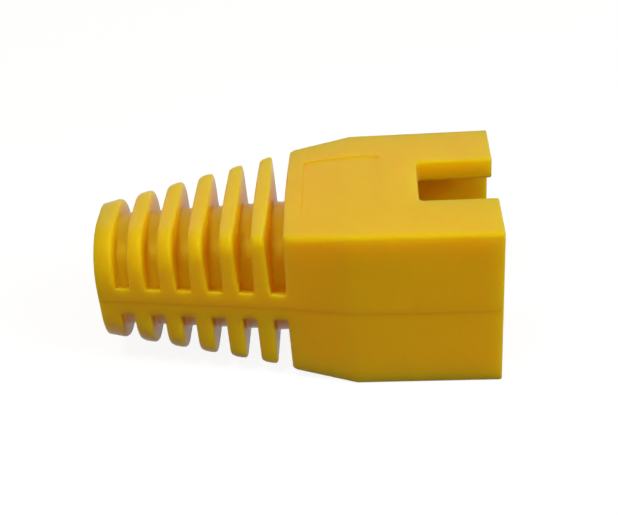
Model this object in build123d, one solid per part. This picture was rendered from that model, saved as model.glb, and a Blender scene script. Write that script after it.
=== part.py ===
from build123d import *
import math
import os

# Strain relief boot for a modular plug: one soft moulding, drawn in millimetres.
# The cable axis is X. The cable enters at x = 0 and the plug enters at the far end.
# The mould halves part in the plane z = 0, and the latch slot is on top.

# Lengths along the cable axis
tail_length = 13.4          # ribbed tail, from the cable end to the rear of the box
taper_length = 4.65         # part of the box that narrows towards the tail
sleeve_length = 10.15       # straight part of the box, up to the plug end

# Outside of the box at each station, heights counted from the cable axis
mouth_width = 14.2
mouth_top = 6.28
sleeve_bottom = 6.15        # flat under the whole sleeve
sleeve_narrowing = 0.35     # the sleeve loses this much width from the mouth to the shoulder
sleeve_rise = 0.06          # the top rises this much from the mouth to the shoulder
rear_width = 11.75          # at the rear of the box, in the middle of the last gap
rear_top = 5.82
rear_bottom = 5.42
box_corner_radius = 0.3
rear_corner_radius = 0.4
parting_ledge_width = 0.04  # the lower mould half is this much narrower on each side

# Ribbed tail. Its ribs stand out from a round tube by a depth at each side, above and below,
# given at the cable end and at the rear of the box
tail_width = 8.45
tail_top_flat = 1.45        # flat width left on top of the cable end between its round corners
tail_side_depth = 0.275
tail_top_depth = 0.59
tail_bottom_depth = 0.76
rear_side_depth = 1.2
rear_top_depth = 1.5
rear_bottom_depth = 0.18
tube_drop = 0.4             # the tube sits this much lower where it meets the box
rib_count = 6
first_rib_extra = 0.16      # the end rib is thicker than the others by this much
gap_width = 0.98            # between two ribs
gap_root_radius = 0.18
rib_edge_radius = 0.15
spine_height = 2.28         # web left along each side, across the parting plane
root_share = 0.6            # an edge of a gap nearer the axis than this share of reach is a root

# Inside
cable_hole_diameter = 6.1
cavity_width = 11.8
cavity_top = 4.7
cavity_bottom = 4.8
cavity_depth = 10.6
cavity_corner_radius = 0.5
throat_length = 2.6         # funnel between the plug cavity and the cable hole
neck_roundness = 0.99       # corner radius of the funnel's narrow end, as a share of its own radius

# Latch slot
slot_width = 5.2
slot_depth = 5.4
slot_corner_radius = 0.35
rim_radius = 0.15           # on every edge of the mouth and the slot

# Plain recessed field on top, across the shoulder
field_width = 7.7
field_length = 5.5
field_offset = 1.3          # from the rear of the box
field_recess = 0.08
field_corner_radius = 0.3

# Sizes and places that follow from the ones above
shoulder_width = mouth_width - sleeve_narrowing
shoulder_top = mouth_top + sleeve_rise
tail_tube_radius = tail_width / 2 - tail_side_depth
rear_tube_radius = rear_width / 2 - rear_side_depth
tail_corner_radius = (tail_width - tail_top_flat) / 2
rear_x = tail_length - gap_width / 2
shoulder_x = tail_length + taper_length
mouth_x = shoulder_x + sleeve_length
rib_pitch = (tail_length - first_rib_extra) / rib_count
spine_half = spine_height / 2
cavity_end_x = mouth_x - cavity_depth
reach = max(mouth_width, mouth_top + sleeve_bottom)


def cross_section(x, width, top, bottom, radius):
    """Rounded outline across the cable axis: its width, and its heights above and below it."""
    with BuildSketch(Plane.YZ.offset(x)) as sketch:
        with Locations((0, (top - bottom) / 2)):
            RectangleRounded(width, top + bottom, radius)
    return sketch.sketch


def tail_form(narrowing):
    """The tail before its gaps are cut, from the cable end into the middle of the last gap."""
    cable_end = cross_section(
        0, tail_width - narrowing, tail_tube_radius + tail_top_depth,
        tail_tube_radius + tail_bottom_depth, tail_corner_radius,
    )
    last_gap = cross_section(
        rear_x, rear_width - narrowing, rear_tube_radius - tube_drop + rear_top_depth,
        rear_tube_radius + tube_drop + rear_bottom_depth, rear_corner_radius,
    )
    return loft([cable_end, last_gap], ruled=True)


def box_form(narrowing):
    """The box without its openings: the part that narrows, then the straight sleeve."""
    rear = cross_section(
        rear_x, rear_width - narrowing, rear_top, rear_bottom, rear_corner_radius
    )
    shoulder = cross_section(
        shoulder_x, shoulder_width - narrowing, shoulder_top, sleeve_bottom, box_corner_radius
    )
    mouth = cross_section(
        mouth_x, mouth_width - narrowing, mouth_top, sleeve_bottom, box_corner_radius
    )
    return loft([rear, shoulder, mouth], ruled=True)


def outer_form(narrowing):
    """The boot without its gaps and openings, its width less the narrowing."""
    return tail_form(narrowing) + box_form(narrowing)


def moulded_form():
    """Upper and lower mould halves joined, with the fine step between them on the sides."""
    upper_half = split(outer_form(0), bisect_by=Plane.XY, keep=Keep.TOP)
    lower_half = split(outer_form(2 * parting_ledge_width), bisect_by=Plane.XY, keep=Keep.BOTTOM)
    return upper_half + lower_half


def rib_gap(index, side):
    """The space between two ribs above (side 1) or below (side -1) the spine."""
    middle_x = first_rib_extra + (index + 1) * rib_pitch - gap_width / 2
    share = middle_x / rear_x
    tube_radius = tail_tube_radius + (rear_tube_radius - tail_tube_radius) * share
    bottom, top = sorted((side * spine_half, side * reach))
    slab = Pos(middle_x, 0, bottom) * Box(
        gap_width, 2 * reach, top - bottom, align=(Align.CENTER, Align.CENTER, Align.MIN)
    )
    tube = Rot(0, 90, 0) * Rot(0, 0, 90) * Cylinder(tube_radius, 2 * reach)
    space = slab - Pos(middle_x, 0, -tube_drop * share) * tube
    roots = [
        e for e in space.edges()
        if math.hypot(e.center().Y, e.center().Z) < root_share * reach
    ]
    return fillet(roots, gap_root_radius)


def cut_rib_gaps(body):
    """Cut every gap, then round the edges that each cut leaves on the outside."""
    for index in range(rib_count):
        for side in (1, -1):
            gap = rib_gap(index, side)
            notched = body - gap
            body = fillet(new_edges(body, gap, combined=notched), rib_edge_radius)
    return body


def recessed_field():
    """The thin layer that leaves a plain sunk field on top, following both slopes."""
    middle_x = tail_length + field_offset + field_length / 2
    with BuildSketch(Plane.XY) as outline:
        with Locations((middle_x, 0)):
            RectangleRounded(field_length, field_width, field_corner_radius)
    block = extrude(outline.sketch, amount=reach)
    return block - Pos(0, 0, -field_recess) * box_form(0)


def plug_cavity():
    """The space for the plug, with a funnel that guides the cable into it."""
    entry = cross_section(
        cavity_end_x, cavity_width, cavity_top, cavity_bottom, cavity_corner_radius
    )
    room = extrude(entry, amount=cavity_depth + rim_radius)
    hole_radius = cable_hole_diameter / 2
    neck = cross_section(
        cavity_end_x - throat_length, cable_hole_diameter, hole_radius, hole_radius,
        neck_roundness * hole_radius,
    )
    return room + loft([neck, entry], ruled=True)


def cable_hole():
    """The round hole for the cable, from the cable end into the funnel."""
    length = cavity_end_x - throat_length / 2
    hole = Cylinder(
        cable_hole_diameter / 2, length, align=(Align.CENTER, Align.CENTER, Align.MIN)
    )
    return Rot(0, 90, 0) * hole


def latch_slot():
    """The slot through the top wall, open at the mouth, with rounded inner corners."""
    with BuildSketch(Plane.XY) as outline:
        with Locations((mouth_x, 0)):
            RectangleRounded(2 * slot_depth, slot_width, slot_corner_radius)
    return extrude(outline.sketch, amount=reach)


def round_mouth(body):
    """Round every edge of the mouth face and of the slot through the top wall."""
    at_mouth = body.faces().sort_by(Axis.X)[-1].edges()
    beside_slot = [
        e for e in body.edges()
        if e.center().X > mouth_x - slot_depth - slot_corner_radius
        and abs(e.center().Y) < slot_width / 2 + rim_radius
        and e.center().Z > cavity_top - rim_radius
        and e.bounding_box().size.Z < 2 * rim_radius
    ]
    edges = {hash(e): e for e in list(at_mouth) + beside_slot}
    return fillet(list(edges.values()), rim_radius)


def boot():
    """The whole moulding."""
    body = cut_rib_gaps(moulded_form())
    body = body - recessed_field() - plug_cavity() - cable_hole() - latch_slot()
    return round_mouth(body)


os.makedirs("parts", exist_ok=True)
export_step(boot(), "parts/boot.step")
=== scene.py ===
import logging
import math
from collections.abc import Sequence
from dataclasses import dataclass
from typing import Any

import bmesh
import bpy
from mathutils import Matrix, Vector


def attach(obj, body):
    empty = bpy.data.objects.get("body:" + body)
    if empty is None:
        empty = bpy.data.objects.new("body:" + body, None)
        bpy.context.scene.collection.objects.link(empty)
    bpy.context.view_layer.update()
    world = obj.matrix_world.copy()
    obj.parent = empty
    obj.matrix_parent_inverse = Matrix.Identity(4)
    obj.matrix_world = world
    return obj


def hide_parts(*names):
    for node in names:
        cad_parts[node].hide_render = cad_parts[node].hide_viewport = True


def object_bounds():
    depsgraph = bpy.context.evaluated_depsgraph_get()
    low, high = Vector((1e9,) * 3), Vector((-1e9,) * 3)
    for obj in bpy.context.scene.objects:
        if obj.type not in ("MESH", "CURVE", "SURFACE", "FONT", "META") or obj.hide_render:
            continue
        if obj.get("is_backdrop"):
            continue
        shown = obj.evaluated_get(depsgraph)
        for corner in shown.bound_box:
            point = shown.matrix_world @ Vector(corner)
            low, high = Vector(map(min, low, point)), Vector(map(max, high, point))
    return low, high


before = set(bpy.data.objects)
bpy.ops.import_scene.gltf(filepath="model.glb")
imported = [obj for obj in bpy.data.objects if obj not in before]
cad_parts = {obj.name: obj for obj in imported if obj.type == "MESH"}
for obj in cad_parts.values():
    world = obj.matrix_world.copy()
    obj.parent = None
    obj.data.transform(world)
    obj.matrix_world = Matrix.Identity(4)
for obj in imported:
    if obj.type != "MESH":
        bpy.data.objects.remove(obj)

# Studio picture of a ribbed strain relief boot, moulded in one piece from soft yellow PVC.
# Lengths are in metres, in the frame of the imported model: X along the cable axis, Z up.

LOG = logging.getLogger("boot_scene")
MM = 0.001
PIECE_NAME = "boot_moulding"
FLOOR_GAP = 0.02 * MM               # the paper lies this far under the boot
WHITE = "#FFFFFF"

MATH = "ShaderNodeMath"
NOISE_MIDDLE = 0.5                  # Blender's noise goes from 0 to 1 about this
# The Mix node's sockets share their names, so these are their numbers.
MIX_SHARE = 0
MIX_NUMBER_A, MIX_NUMBER_B = 2, 3
MIX_COLOUR_A, MIX_COLOUR_B = 6, 7
MIXED_COLOUR = 2

# What a node's input can be linked from: an output, or a node for its first output.
Source = bpy.types.NodeSocket | bpy.types.Node
Triple = tuple[float, float, float]


def linear(hex_code: str) -> tuple[float, float, float, float]:
    """Turn an sRGB hex colour into linear values.

    Args:
        hex_code: colour as "#RRGGBB".

    Returns:
        Red, green, blue and alpha for a Blender socket.
    """
    # These are the numbers of the sRGB standard's own curve.
    shares = [int(hex_code[i:i + 2], 16) / 255 for i in (1, 3, 5)]
    values = [s / 12.92 if s <= 0.04045 else ((s + 0.055) / 1.055) ** 2.4 for s in shares]
    return (values[0], values[1], values[2], 1.0)


def add_node(
    tree: bpy.types.NodeTree,
    kind: str,
    settings: dict[str, Any] | None = None,
    inputs: dict[str | int, Any] | Sequence[Any] = (),
) -> bpy.types.Node:
    """Add a node with its settings, input values and links.

    Args:
        tree: node tree that takes the node.
        kind: Blender's type name of the node.
        settings: attributes of the node.
        inputs: values and sources to link from, in order or by socket name or number.

    Returns:
        The new node.
    """
    node = tree.nodes.new(kind)
    for name, value in (settings or {}).items():
        setattr(node, name, value)
    for key, value in inputs.items() if isinstance(inputs, dict) else enumerate(inputs):
        if isinstance(value, bpy.types.Node):
            value = value.outputs[0]
        if isinstance(value, bpy.types.NodeSocket):
            tree.links.new(value, node.inputs[key])
        else:
            node.inputs[key].default_value = value
    return node


def seen_share(tree: bpy.types.NodeTree) -> Source:
    """Add nodes that say whether a ray comes from the camera, a gloss or a glass.

    Args:
        tree: node tree that takes the nodes.

    Returns:
        A source that is 1 for such a ray and 0 for any other.
    """
    path = add_node(tree, "ShaderNodeLightPath").outputs
    mirrored = (path["Is Glossy Ray"], path["Is Transmission Ray"])
    gloss = add_node(tree, MATH, {"operation": "MAXIMUM"}, mirrored)
    return add_node(tree, MATH, {"operation": "MAXIMUM"}, (path["Is Camera Ray"], gloss))


@dataclass(frozen=True)
class SoftPvc:
    """Plasticised PVC, injection moulded in a satin mould and pigmented yellow.

    Light goes a few millimetres into it, red furthest and blue hardly at all, so edges glow and
    hollows turn orange. The mould's satin leaves broad soft highlights instead of sharp ones.
    """

    name: str = "plasticised_pvc_moulded"
    pigment: str = "#F3C00E"
    pigment_deep: str = "#EEBA0C"
    cloud_mm: float = 4.0           # width of the faint patches where the pigment mixes unevenly
    cloud_layers: float = 3.0
    glow_mm: float = 4.4            # light goes this far inside
    glow_reach: Triple = (0.9, 0.6, 0.1)    # times this for red, green and blue
    glow_share: float = 1.0
    ior: float = 1.53
    specular: float = 0.36
    gloss_tint: str = "#FFF050"
    roughness_low: float = 0.3
    roughness_high: float = 0.42
    grain_mm: float = 0.16          # satin mould texture, drawn coarser than the real 0.03 to show
    grain_depth_mm: float = 0.003
    grain_layers: float = 2.0
    flow_mm: float = 2.6            # slow waves left as the soft moulding cools
    flow_depth_mm: float = 0.02
    flow_layers: float = 1.0
    seam_fade_mm: float = 0.45      # the skin rolls in over this height above the parting line
    seam_depth_mm: float = 0.03

    def material(self) -> bpy.types.Material:
        """Build the node material.

        Returns:
            The finished material.
        """
        made = bpy.data.materials.new(self.name)
        made.use_nodes = True
        tree = made.node_tree
        tree.nodes.clear()
        place = add_node(tree, "ShaderNodeTexCoord").outputs["Object"]
        cloud, grain, flow = (
            add_node(
                tree, "ShaderNodeTexNoise", {},
                {"Vector": place, "Scale": 1 / (width_mm * MM), "Detail": layers},
            )
            for width_mm, layers in (
                (self.cloud_mm, self.cloud_layers),
                (self.grain_mm, self.grain_layers),
                (self.flow_mm, self.flow_layers),
            )
        )
        colour = add_node(
            tree, "ShaderNodeMix", {"data_type": "RGBA"},
            {
                MIX_SHARE: cloud,
                MIX_COLOUR_A: linear(self.pigment),
                MIX_COLOUR_B: linear(self.pigment_deep),
            },
        ).outputs[MIXED_COLOUR]
        roughness = add_node(
            tree, "ShaderNodeMapRange", {},
            {"Value": grain, "To Min": self.roughness_low, "To Max": self.roughness_high},
        )
        relief: dict[str, bpy.types.Node] = {}
        for height, depth_mm in (
            (flow, self.flow_depth_mm),
            (self._seam(tree, place), self.seam_depth_mm),
            (grain, self.grain_depth_mm),
        ):
            bump = {"Height": height, "Strength": 1.0, "Distance": depth_mm * MM, **relief}
            relief = {"Normal": add_node(tree, "ShaderNodeBump", {}, bump)}
        shader = add_node(
            tree, "ShaderNodeBsdfPrincipled", {"subsurface_method": "RANDOM_WALK"},
            {
                "Base Color": colour,
                "Roughness": roughness,
                "IOR": self.ior,
                "Specular IOR Level": self.specular,
                "Specular Tint": linear(self.gloss_tint),
                "Subsurface Weight": self.glow_share,
                "Subsurface Radius": self.glow_reach,
                "Subsurface Scale": self.glow_mm * MM,
                **relief,
            },
        )
        add_node(tree, "ShaderNodeOutputMaterial", {}, {"Surface": shader})
        return made

    def _seam(self, tree: bpy.types.NodeTree, place: Source) -> Source:
        """Add the height of the skin at the parting line, where the mould halves met.

        Args:
            tree: node tree that takes the nodes.
            place: source of the coordinates.

        Returns:
            Height that sinks slowly down to the parting plane and is full again below it.
        """
        level = add_node(tree, "ShaderNodeSeparateXYZ", {}, (place,)).outputs["Z"]
        fade = self.seam_fade_mm * MM
        rise = add_node(
            tree, "ShaderNodeMapRange", {"interpolation_type": "SMOOTHSTEP"},
            {"Value": level, "From Min": -fade, "From Max": fade},
        )
        below = add_node(tree, MATH, {"operation": "LESS_THAN"}, (level, 0.0))
        return add_node(tree, MATH, {"operation": "MAXIMUM"}, (rise, below))


@dataclass(frozen=True)
class StudioPaper:
    """Matt white paper under and behind the boot, which keeps the boot's shadow."""

    name: str = "white_backdrop_paper"
    bounce: str = "#241408"         # what the paper sends back to the boot
    shadow_paint: float = 0.16      # share of the paper's look that takes the shadow
    glow: float = 0.9               # the rest, as plain white

    def material(self) -> bpy.types.Material:
        """Build the paper, which looks white and sends only a little light back to the boot.

        Returns:
            The finished material.
        """
        made = bpy.data.materials.new(self.name)
        made.use_nodes = True
        tree = made.node_tree
        tree.nodes.clear()
        seen = seen_share(tree)
        paint = (self.shadow_paint, self.shadow_paint, self.shadow_paint, 1.0)
        colour = add_node(
            tree, "ShaderNodeMix", {"data_type": "RGBA"},
            {MIX_SHARE: seen, MIX_COLOUR_A: linear(self.bounce), MIX_COLOUR_B: paint},
        ).outputs[MIXED_COLOUR]
        glow = add_node(tree, MATH, {"operation": "MULTIPLY"}, (seen, self.glow))
        diffuse = add_node(tree, "ShaderNodeBsdfDiffuse", {}, {"Color": colour})
        white = add_node(tree, "ShaderNodeEmission", {}, {"Strength": glow})
        both = add_node(tree, "ShaderNodeAddShader", {}, (diffuse, white))
        add_node(tree, "ShaderNodeOutputMaterial", {}, {"Surface": both})
        return made


@dataclass(frozen=True)
class RibShape:
    """What the mould gives the ribs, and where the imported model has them.

    The walls of the gaps lean back so that the rib leaves the mould, the tips are worn round, and
    the ledges, where the upper gaps end on the spine along each side, dip towards the tube.
    """

    draft: float = 0.05             # a wall leans back by this share of its height over the tube
    draft_below: float = 0.02       # share below the spine, only where it faces the cable end
    tip_sink: float = 0.08 * MM     # the rim of a rib's outer face sinks this much
    tip_reach: float = 0.35 * MM    # over this width beside the rim
    ledge_dip: float = 0.5          # a ledge falls by this share of its depth
    ledge_fade: float = 1.4 * MM    # and the dip fades out over this height above it
    spine_fade: float = 0.5 * MM    # draft and round tips fade in over this height off the spine
    first_gap: float = 1.8767 * MM  # middle of the gap nearest the cable end
    gap_pitch: float = 2.2067 * MM
    last_gap: float = 5.0           # number of the last gap, counted from 0
    gap_half: float = 0.49 * MM     # half of a gap's width
    tube_radius: float = 3.95 * MM  # at the cable end
    tube_growth: float = 0.0562     # growth of that radius for each metre along the cable
    tube_fall: float = 0.031        # fall of the tube's middle for each metre along the cable
    tube_skin: float = 0.2 * MM     # what lies deeper than this in the tube stays
    least_radius: float = 1.0 * MM  # tips sink as if they were at least this far from the axis
    spine_half: float = 1.14 * MM   # half of the spine's height
    spine_depth: float = 0.275 * MM     # how far it stands out from the tube at the cable end
    depth_growth: float = 0.0717    # growth of that depth for each metre along the cable
    tail_end: float = 13.45 * MM    # the ribs end here and the box begins

    def shape(self, piece: bpy.types.Object, finish: bpy.types.Material) -> None:
        """Lean the walls of the gaps back, round the tips of the ribs and dip the ledges.

        Args:
            piece: the moulding, whose mesh is replaced.
            finish: its material.
        """
        sizes = self._sizes()
        tree = new_geometry_tree("rib_draft", sizes)
        given = add_node(tree, "NodeGroupInput").outputs
        place = add_node(tree, "GeometryNodeInputPosition")
        x, y, z = add_node(tree, "ShaderNodeSeparateXYZ", {}, (place,)).outputs
        from_gap, from_wall = self._from_gap(tree, given, x)
        out_z = add_node(tree, MATH, {"operation": "MULTIPLY_ADD"}, (x, given["Tube Fall"], z))
        above = self._above_tube(tree, given, x, y, out_z)
        height = add_node(tree, MATH, {"operation": "MAXIMUM"}, (above["height"], 0.0))
        off_spine = self._off_spine(tree, given, z)
        lean = self._lean(tree, given, z, from_gap, from_wall)
        for share in (off_spine, height):
            lean = add_node(tree, MATH, {"operation": "MULTIPLY"}, (lean, share))
        way = add_node(tree, MATH, {"operation": "SIGN"}, (from_gap,))
        shift_x = add_node(tree, MATH, {"operation": "MULTIPLY"}, (lean, way))
        sink = self._tip_sink(tree, given, from_wall, height)
        sink = add_node(tree, MATH, {"operation": "MULTIPLY"}, (sink, off_spine))
        radius = (above["out"], given["Least Radius"])
        radius = add_node(tree, MATH, {"operation": "MAXIMUM"}, radius)
        share = add_node(tree, MATH, {"operation": "DIVIDE"}, (sink, radius))
        inward_y = add_node(tree, MATH, {"operation": "MULTIPLY"}, (y, share))
        shift_y = add_node(tree, MATH, {"operation": "MULTIPLY"}, (inward_y, -1.0))
        drop = self._ledge_drop(tree, given, x, z, above["height"])
        inward_z = add_node(tree, MATH, {"operation": "MULTIPLY_ADD"}, (out_z, share, drop))
        shift_z = add_node(tree, MATH, {"operation": "MULTIPLY"}, (inward_z, -1.0))
        offset = add_node(tree, "ShaderNodeCombineXYZ", {}, (shift_x, shift_y, shift_z))
        moved = add_node(
            tree, "GeometryNodeSetPosition", {},
            {"Geometry": given["Geometry"], "Offset": offset},
        )
        end_geometry_tree(tree, moved, given["Finish"])
        put_on(piece, tree, sizes, finish)
        make_plain(piece)

    def _sizes(self) -> dict[str, float]:
        """Name the tree's inputs.

        Returns:
            The size that goes into each named input.
        """
        return {
            "Draft": self.draft,
            "Draft Below": self.draft_below,
            "Tip Sink": self.tip_sink,
            "Tip Reach": self.tip_reach,
            "Ledge Dip": self.ledge_dip,
            "Ledge Fade End": self.spine_half + self.ledge_fade,
            "First Gap": self.first_gap,
            "Gap Pitch": self.gap_pitch,
            "Last Gap Number": self.last_gap,
            "Gap Half Width": self.gap_half,
            "Rib Half Width": self.gap_pitch / 2 - self.gap_half,
            "Tube Radius": self.tube_radius,
            "Tube Growth": self.tube_growth,
            "Tube Fall": self.tube_fall,
            "Tube Skin Inside": -self.tube_skin,
            "Least Radius": self.least_radius,
            "Spine Half Height": self.spine_half,
            "Spine Fade End": self.spine_half + self.spine_fade,
            "Spine Skin": self.spine_half - self.tube_skin,
            "Spine Depth": self.spine_depth,
            "Spine Depth Growth": self.depth_growth,
            "Tail End": self.tail_end,
        }

    @staticmethod
    def _from_gap(
        tree: bpy.types.NodeTree, given: bpy.types.NodeOutputs, x: Source
    ) -> tuple[Source, Source]:
        """Add a point's distances along the cable from the nearest gap.

        Args:
            tree: node tree that takes the nodes.
            given: the tree's inputs.
            x: place along the cable axis.

        Returns:
            The distance from the middle of the gap, and outwards from its wall.
        """
        pitch = given["Gap Pitch"]
        along = add_node(tree, MATH, {"operation": "SUBTRACT"}, (x, given["First Gap"]))
        number = add_node(tree, MATH, {"operation": "DIVIDE"}, (along, pitch))
        number = add_node(tree, MATH, {"operation": "ROUND"}, (number,))
        number = add_node(tree, MATH, {"operation": "MAXIMUM"}, (number, 0.0))
        last = given["Last Gap Number"]
        number = add_node(tree, MATH, {"operation": "MINIMUM"}, (number, last))
        middle = add_node(tree, MATH, {"operation": "MULTIPLY"}, (number, pitch))
        from_middle = add_node(tree, MATH, {"operation": "SUBTRACT"}, (along, middle))
        either_way = add_node(tree, MATH, {"operation": "ABSOLUTE"}, (from_middle,))
        half = given["Gap Half Width"]
        return from_middle, add_node(tree, MATH, {"operation": "SUBTRACT"}, (either_way, half))

    @staticmethod
    def _above_tube(
        tree: bpy.types.NodeTree, given: bpy.types.NodeOutputs, x: Source, y: Source, out_z: Source
    ) -> dict[str, Source]:
        """Add a point's distances from the tube's axis and from its surface.

        Args:
            tree: node tree that takes the nodes.
            given: the tree's inputs.
            x: place along the cable axis.
            y: place across it.
            out_z: height over the tube's middle.

        Returns:
            "out", the distance from the axis, and "height", the distance from the surface.
        """
        squares = [
            add_node(tree, MATH, {"operation": "MULTIPLY"}, (part, part)) for part in (y, out_z)
        ]
        square = add_node(tree, MATH, {"operation": "ADD"}, squares)
        out = add_node(tree, MATH, {"operation": "SQRT"}, (square,))
        tube = (x, given["Tube Growth"], given["Tube Radius"])
        root = add_node(tree, MATH, {"operation": "MULTIPLY_ADD"}, tube)
        return {"out": out, "height": add_node(tree, MATH, {"operation": "SUBTRACT"}, (out, root))}

    @staticmethod
    def _off_spine(tree: bpy.types.NodeTree, given: bpy.types.NodeOutputs, z: Source) -> Source:
        """Add the share by which a point is off the spine.

        Args:
            tree: node tree that takes the nodes.
            given: the tree's inputs.
            z: height.

        Returns:
            0 on the spine and 1 well above and below it.
        """
        either_way = add_node(tree, MATH, {"operation": "ABSOLUTE"}, (z,))
        return add_node(
            tree, "ShaderNodeMapRange", {"interpolation_type": "SMOOTHSTEP"},
            {
                "Value": either_way,
                "From Min": given["Spine Half Height"],
                "From Max": given["Spine Fade End"],
            },
        )

    @staticmethod
    def _lean(
        tree: bpy.types.NodeTree, given: bpy.types.NodeOutputs, z: Source,
        from_gap: Source, from_wall: Source,
    ) -> Source:
        """Add how much a rib leans back at a point, which falls to nothing in its middle.

        Args:
            tree: node tree that takes the nodes.
            given: the tree's inputs.
            z: height.
            from_gap: distance from the middle of the gap.
            from_wall: distance from its wall.

        Returns:
            The lean for each length of height over the tube.
        """
        share = add_node(
            tree, "ShaderNodeMapRange", {},
            {
                "Value": from_wall, "From Min": 0.0, "From Max": given["Rib Half Width"],
                "To Min": 1.0, "To Max": 0.0,
            },
        )
        to_cable = add_node(tree, MATH, {"operation": "GREATER_THAN"}, (from_gap, 0.0))
        lower = add_node(
            tree, MATH, {"operation": "MULTIPLY"}, (to_cable, given["Draft Below"])
        )
        below = add_node(tree, MATH, {"operation": "LESS_THAN"}, (z, 0.0))
        draft = add_node(
            tree, "ShaderNodeMix", {"data_type": "FLOAT"},
            {MIX_SHARE: below, MIX_NUMBER_A: given["Draft"], MIX_NUMBER_B: lower},
        )
        return add_node(tree, MATH, {"operation": "MULTIPLY"}, (share, draft))

    @staticmethod
    def _tip_sink(
        tree: bpy.types.NodeTree, given: bpy.types.NodeOutputs, from_wall: Source, height: Source
    ) -> Source:
        """Add how far a point at the rim of a rib's outer face sinks.

        Args:
            tree: node tree that takes the nodes.
            given: the tree's inputs.
            from_wall: distance from the gap's wall.
            height: distance from the tube's surface.

        Returns:
            The way towards the tube's axis.
        """
        reach = given["Tip Reach"]
        near_rim = add_node(
            tree, "ShaderNodeMapRange", {"interpolation_type": "SMOOTHSTEP"},
            {"Value": from_wall, "From Max": reach, "To Min": 1.0, "To Max": 0.0},
        )
        raised = add_node(
            tree, "ShaderNodeMapRange", {"interpolation_type": "SMOOTHSTEP"},
            {"Value": height, "From Max": reach},
        )
        share = add_node(tree, MATH, {"operation": "MULTIPLY"}, (near_rim, raised))
        return add_node(tree, MATH, {"operation": "MULTIPLY"}, (share, given["Tip Sink"]))

    @staticmethod
    def _ledge_drop(
        tree: bpy.types.NodeTree, given: bpy.types.NodeOutputs, x: Source, z: Source,
        above: Source,
    ) -> Source:
        """Add how far a point on a ledge goes down, which is most at the tube.

        Args:
            tree: node tree that takes the nodes.
            given: the tree's inputs.
            x: place along the cable axis.
            z: height.
            above: distance from the tube's surface, negative inside it.

        Returns:
            The way down.
        """
        spine = (x, given["Spine Depth Growth"], given["Spine Depth"])
        depth = add_node(tree, MATH, {"operation": "MULTIPLY_ADD"}, spine)
        outside = add_node(tree, MATH, {"operation": "MAXIMUM"}, (above, 0.0))
        inward = add_node(tree, MATH, {"operation": "SUBTRACT"}, (depth, outside))
        inward = add_node(tree, MATH, {"operation": "MAXIMUM"}, (inward, 0.0))
        drop = add_node(tree, MATH, {"operation": "MULTIPLY"}, (inward, given["Ledge Dip"]))
        fade = add_node(
            tree, "ShaderNodeMapRange", {},
            {
                "Value": z, "From Min": given["Spine Half Height"],
                "From Max": given["Ledge Fade End"], "To Min": 1.0, "To Max": 0.0,
            },
        )
        skin = (above, given["Tube Skin Inside"])
        on_skin = add_node(tree, MATH, {"operation": "GREATER_THAN"}, skin)
        over_spine = add_node(tree, MATH, {"operation": "GREATER_THAN"}, (z, given["Spine Skin"]))
        in_tail = add_node(tree, MATH, {"operation": "LESS_THAN"}, (x, given["Tail End"]))
        for share in (fade, on_skin, over_spine, in_tail):
            drop = add_node(tree, MATH, {"operation": "MULTIPLY"}, (drop, share))
        return drop


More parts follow.
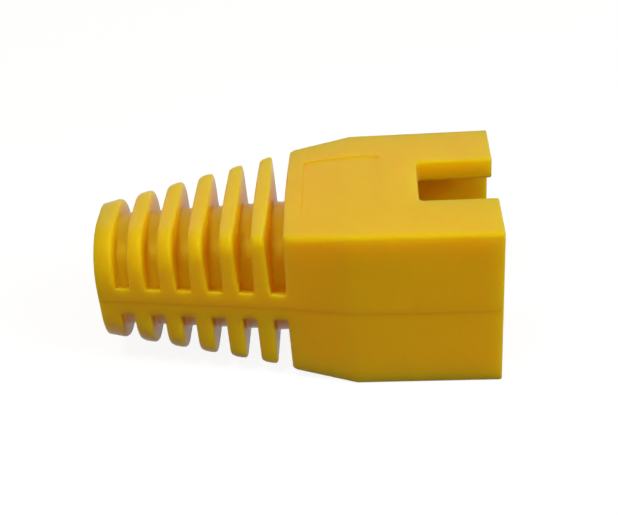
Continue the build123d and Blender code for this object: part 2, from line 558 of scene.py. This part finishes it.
@dataclass(frozen=True)
class Moulding:
    """The boot itself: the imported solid's mesh, evened out and dressed as soft PVC."""

    finish: SoftPvc
    ribs: RibShape
    node: str = "boot"
    slot: str = "boot_plastic"
    weld: float = 0.0005 * MM
    longest_edge: float = 0.9 * MM  # longer edges are halved, so that flat walls can bend
    longest_rib_run: float = 0.3 * MM   # and on the ribs those that run further along the cable
    tail_reach: float = 14.4 * MM   # this finer limit holds from the cable end to here
    passes: int = 6                 # of halving, at most
    crease: float = math.radians(32)    # an edge that turns more than this is seen as sharp
    wave: float = 0.02 * MM         # height of the slow waves in soft walls
    wave_length: float = 5 * MM
    wave_layers: float = 1.0
    seed: float = 4.0

    def build(self) -> bpy.types.Object:
        """Make the dressed moulding and let it stand for the CAD node.

        Returns:
            The finished object.
        """
        finish = self.finish.material()
        piece = self._evened_copy()
        self.ribs.shape(piece, finish)
        self._soften(piece, finish)
        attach(piece, "root")
        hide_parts(self.node)
        return piece

    def _evened_copy(self) -> bpy.types.Object:
        """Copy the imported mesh, join its loose triangles and divide the long ones.

        Returns:
            The new object, still without a material.
        """
        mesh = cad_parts[self.node].data.copy()
        mesh.name = PIECE_NAME
        mesh.materials.clear()
        shape = bmesh.new()
        shape.from_mesh(mesh)
        bmesh.ops.remove_doubles(shape, verts=shape.verts, dist=self.weld)
        for _ in range(self.passes):
            long_edges = [e for e in shape.edges if self._is_long(e)]
            if not long_edges:
                break
            bmesh.ops.subdivide_edges(shape, edges=long_edges, cuts=1, use_grid_fill=False)
            bmesh.ops.triangulate(shape, faces=[f for f in shape.faces if len(f.verts) > 3])
        shape.to_mesh(mesh)
        shape.free()
        stored = mesh.attributes.get("custom_normal")
        if stored:
            mesh.attributes.remove(stored)
        mesh.shade_smooth()
        mesh.set_sharp_from_angle(angle=self.crease)
        piece = bpy.data.objects.new(PIECE_NAME, mesh)
        bpy.context.scene.collection.objects.link(piece)
        return piece

    def _is_long(self, edge: bmesh.types.BMEdge) -> bool:
        """Say whether an edge has to be halved.

        Args:
            edge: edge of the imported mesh.

        Returns:
            True for a long edge, and on the ribs for one that runs far along the cable.
        """
        start, end = edge.verts[0].co, edge.verts[1].co
        middle = (start + end) / 2
        outside_tube = math.hypot(middle.y, middle.z) > self.ribs.tube_radius
        on_ribs = middle.x < self.tail_reach and outside_tube
        long_run = on_ribs and abs(start.x - end.x) > self.longest_rib_run
        return long_run or edge.calc_length() > self.longest_edge

    def _soften(self, piece: bpy.types.Object, finish: bpy.types.Material) -> None:
        """Give the walls the slow waves of a soft moulding.

        Args:
            piece: the moulding, whose mesh is replaced by the waved one.
            finish: its material.
        """
        sizes = {
            "Wave Height": self.wave,
            "Waves per Metre": 1 / self.wave_length,
            "Wave Layers": self.wave_layers,
            "Seed": self.seed,
        }
        tree = new_geometry_tree("soft_wall_waves", sizes)
        given = add_node(tree, "NodeGroupInput").outputs
        noise = add_node(
            tree, "ShaderNodeTexNoise", {"noise_dimensions": "4D"},
            {
                "W": given["Seed"], "Scale": given["Waves per Metre"],
                "Detail": given["Wave Layers"],
            },
        )
        wave = add_node(tree, MATH, {"operation": "SUBTRACT"}, (noise, NOISE_MIDDLE))
        height = add_node(tree, MATH, {"operation": "MULTIPLY"}, (wave, given["Wave Height"]))
        normal = add_node(tree, "GeometryNodeInputNormal")
        shift = add_node(
            tree, "ShaderNodeVectorMath", {"operation": "SCALE"}, {0: normal, "Scale": height}
        )
        moved = add_node(
            tree, "GeometryNodeSetPosition", {},
            {"Geometry": given["Geometry"], "Offset": shift},
        )
        end_geometry_tree(tree, moved, given["Finish"])
        put_on(piece, tree, sizes, finish)
        weighted = piece.modifiers.new("weighted_normals", "WEIGHTED_NORMAL")
        weighted.keep_sharp = True
        make_plain(piece)


def new_geometry_tree(name: str, sizes: dict[str, float]) -> bpy.types.NodeTree:
    """Start a Geometry Nodes tree that takes a geometry, named sizes and a finish.

    Args:
        name: name of the tree.
        sizes: name of each size.

    Returns:
        The empty tree.
    """
    tree = bpy.data.node_groups.new(name, "GeometryNodeTree")
    tree.interface.new_socket("Geometry", in_out="OUTPUT", socket_type="NodeSocketGeometry")
    tree.interface.new_socket("Geometry", in_out="INPUT", socket_type="NodeSocketGeometry")
    for size in sizes:
        tree.interface.new_socket(size, in_out="INPUT", socket_type="NodeSocketFloat")
    tree.interface.new_socket("Finish", in_out="INPUT", socket_type="NodeSocketMaterial")
    return tree


def end_geometry_tree(tree: bpy.types.NodeTree, geometry: Source, finish: Source) -> None:
    """End a tree in real geometry that wears its finish.

    Args:
        tree: the tree.
        geometry: source of the tree's result.
        finish: source of the material.
    """
    real = add_node(tree, "GeometryNodeRealizeInstances", {}, (geometry,))
    dressed = add_node(tree, "GeometryNodeSetMaterial", {}, {"Geometry": real, "Material": finish})
    add_node(tree, "NodeGroupOutput", {}, (dressed,))


def put_on(
    piece: bpy.types.Object, tree: bpy.types.NodeTree, sizes: dict[str, float],
    finish: bpy.types.Material,
) -> None:
    """Put a tree on a piece and set its inputs by the identifiers of their sockets.

    Args:
        piece: the piece that gets the modifier.
        tree: the Geometry Nodes tree.
        sizes: name and value of each size.
        finish: the material.
    """
    modifier = piece.modifiers.new(tree.name, "NODES")
    modifier.node_group = tree
    values = {**sizes, "Finish": finish}
    for socket in tree.interface.items_tree:
        if socket.item_type == "SOCKET" and socket.name in values:
            modifier[socket.identifier] = values[socket.name]


def make_plain(piece: bpy.types.Object) -> None:
    """Turn an object's evaluated result into its own plain mesh, without modifiers.

    Args:
        piece: the object, whose mesh is replaced.
    """
    bpy.context.view_layer.update()
    evaluated = piece.evaluated_get(bpy.context.evaluated_depsgraph_get())
    mesh = bpy.data.meshes.new_from_object(evaluated)
    piece.modifiers.clear()
    piece.data = mesh
    mesh.name = piece.name


@dataclass(frozen=True)
class PhotoCamera:
    """The camera as it stood for the photograph, found by fitting the boot's edges."""

    place: Triple = (0.02025, -0.07381, 0.05031)
    right: Triple = (0.9974, 0.0281, -0.0669)    # direction that is right in the picture
    up: Triple = (0.0395, 0.5633, 0.8254)       # and the one that is up
    focal_px: float = 1226.85
    image_width_px: float = 618.0
    sensor_mm: float = 36.0
    near: float = 0.005
    far: float = 10.0

    def build(self) -> bpy.types.Object:
        """Make the camera and give it to the scene.

        Returns:
            The camera.
        """
        data = bpy.data.cameras.new("photo_camera")
        data.sensor_width = self.sensor_mm
        data.lens = self.focal_px / self.image_width_px * self.sensor_mm
        data.clip_start = self.near
        data.clip_end = self.far
        camera = bpy.data.objects.new("photo_camera", data)
        bpy.context.scene.collection.objects.link(camera)
        right = Vector(self.right).normalized()
        back = right.cross(Vector(self.up)).normalized()
        turn = Matrix((right, back.cross(right), back)).transposed()
        camera.matrix_world = Matrix.Translation(self.place) @ turn.to_4x4()
        bpy.context.scene.camera = camera
        return camera


@dataclass(frozen=True)
class SoftBox:
    """A square lamp that points at the boot."""

    name: str
    place: Triple
    size: float
    watts: float

    def build(self, target: Vector) -> bpy.types.Object:
        """Hang the lamp.

        Args:
            target: where it points.

        Returns:
            The lamp.
        """
        data = bpy.data.lights.new(self.name, "AREA")
        data.shape = "SQUARE"
        data.size = self.size
        data.energy = self.watts
        lamp = bpy.data.objects.new(self.name, data)
        lamp.location = self.place
        aim = target - Vector(self.place)
        lamp.rotation_euler = aim.to_track_quat("-Z", "Y").to_euler()
        bpy.context.scene.collection.objects.link(lamp)
        return lamp


@dataclass(frozen=True)
class Studio:
    """White paper, three small lamps, and a room whose light comes mostly from the side."""

    paper: StudioPaper
    floor_z: float
    floor_reach: float = 3.0
    zenith_colour: str = "#E8FFFF"
    zenith_light: float = 0.05
    horizon_colour: str = "#FFC890"     # warm light from the side, pale and weak from above
    horizon_light: float = 0.95
    lamp_target: Triple = (0.014, 0.0, 0.0)
    lamps: tuple[SoftBox, ...] = (
        SoftBox("overhead_soft_box", place=(0.024, -0.03, 0.065), size=0.05, watts=0.009),
        SoftBox("small_front_lamp", place=(-0.055, -0.085, 0.26), size=0.04, watts=0.16),
        SoftBox("mouth_side_window", place=(0.16, -0.075, 0.14), size=0.08, watts=0.17),
    )

    def build(self) -> None:
        """Make the floor, the lamps and the room."""
        self._floor()
        for lamp in self.lamps:
            lamp.build(Vector(self.lamp_target))
        self._room()

    def _floor(self) -> None:
        """Lay the paper just under the boot."""
        reach = self.floor_reach
        mesh = bpy.data.meshes.new("paper_floor")
        corners = [(-reach, -reach), (reach, -reach), (reach, reach), (-reach, reach)]
        mesh.from_pydata([(x, y, self.floor_z) for x, y in corners], [], [(0, 1, 2, 3)])
        mesh.materials.append(self.paper.material())
        floor = bpy.data.objects.new("paper_floor", mesh)
        bpy.context.scene.collection.objects.link(floor)
        floor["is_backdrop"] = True

    def _room(self) -> None:
        """Light the boot softly from all round, and show white behind it."""
        world = bpy.data.worlds.new("white_room")
        world.use_nodes = True
        tree = world.node_tree
        tree.nodes.clear()
        ray = add_node(tree, "ShaderNodeTexCoord").outputs["Generated"]
        height = add_node(tree, "ShaderNodeSeparateXYZ", {}, (ray,)).outputs["Z"]
        strength = add_node(
            tree, "ShaderNodeMapRange", {},
            {"Value": height, "To Min": self.horizon_light, "To Max": self.zenith_light},
        )
        colour = add_node(
            tree, "ShaderNodeMix", {"data_type": "RGBA"},
            {
                MIX_SHARE: height,
                MIX_COLOUR_A: linear(self.horizon_colour),
                MIX_COLOUR_B: linear(self.zenith_colour),
            },
        ).outputs[MIXED_COLOUR]
        light = add_node(
            tree, "ShaderNodeBackground", {}, {"Color": colour, "Strength": strength}
        )
        white = add_node(
            tree, "ShaderNodeBackground", {}, {"Color": linear(WHITE), "Strength": 1.0}
        )
        shown = add_node(tree, "ShaderNodeMixShader", {}, (seen_share(tree), light, white))
        add_node(tree, "ShaderNodeOutputWorld", {}, {"Surface": shown})
        bpy.context.scene.world = world


def report(piece: bpy.types.Object) -> None:
    """Log a piece's name and how many faces it has."""
    LOG.info("%s: %d faces", piece.name, len(piece.data.polygons))


def main() -> None:
    """Build the scene piece by piece."""
    logging.basicConfig(level=logging.INFO, format="%(name)s %(message)s")
    cad_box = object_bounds()
    bpy.context.scene.view_settings.view_transform = "Standard"
    PhotoCamera().build()
    report(Moulding(SoftPvc(), RibShape()).build())
    Studio(StudioPaper(), floor_z=cad_box[0].z - FLOOR_GAP).build()


if __name__ == "__main__":
    main()
